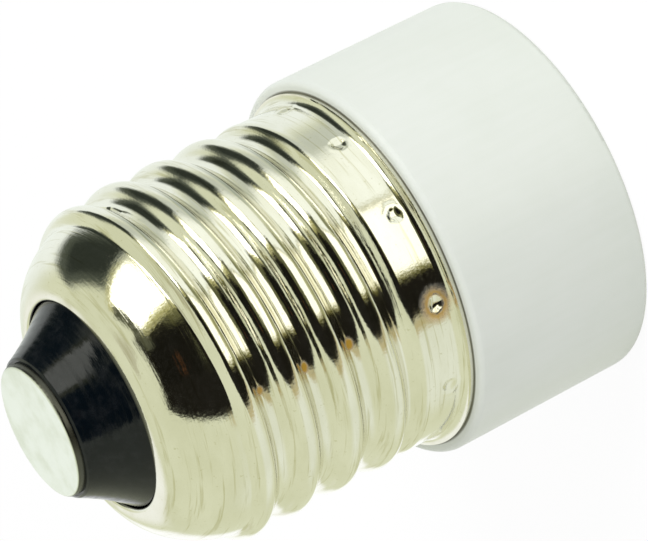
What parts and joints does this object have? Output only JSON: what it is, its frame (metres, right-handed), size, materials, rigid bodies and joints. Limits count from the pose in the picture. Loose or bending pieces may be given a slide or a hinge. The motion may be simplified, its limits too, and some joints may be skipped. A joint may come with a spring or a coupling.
{
  "type": "lamp socket adapter",
  "caption": "Screw lamp adapter: a large screw cap with an end contact on a white holder whose mouth takes a lamp with a small screw cap.",
  "frame": {"origin": "centre of the socket mouth, on the rim's plane", "axes": "+Z along the threads' axis, towards the cap's end contact"},
  "size_m": [0.029, 0.029, 0.0415],
  "materials": {
    "white_moulding": "satin moulded",
    "nickel_plate": "bright nickel plate, rolled",
    "black_glass": "glossy, faintly rippled",
    "tinned_contact": "matt plated",
    "socket_plate": "nickel plate",
    "rivet_steel": "plain",
    "spring_bronze": "rolled strip",
    "copper_wire": "drawn wire"
  },
  "bodies": {
    "root": {"holder_body": "white_moulding", "cap_shell": "nickel_plate", "cap_insulator": "black_glass", "base_contact": "tinned_contact", "socket_shell": "socket_plate", "shell_rivet_back": "rivet_steel", "shell_rivet_front": "rivet_steel", "centre_tongue": "spring_bronze", "tongue_eyelet": "spring_bronze", "shell_strap": "spring_bronze", "centre_lead": "copper_wire"}
  },
  "joints": []
}
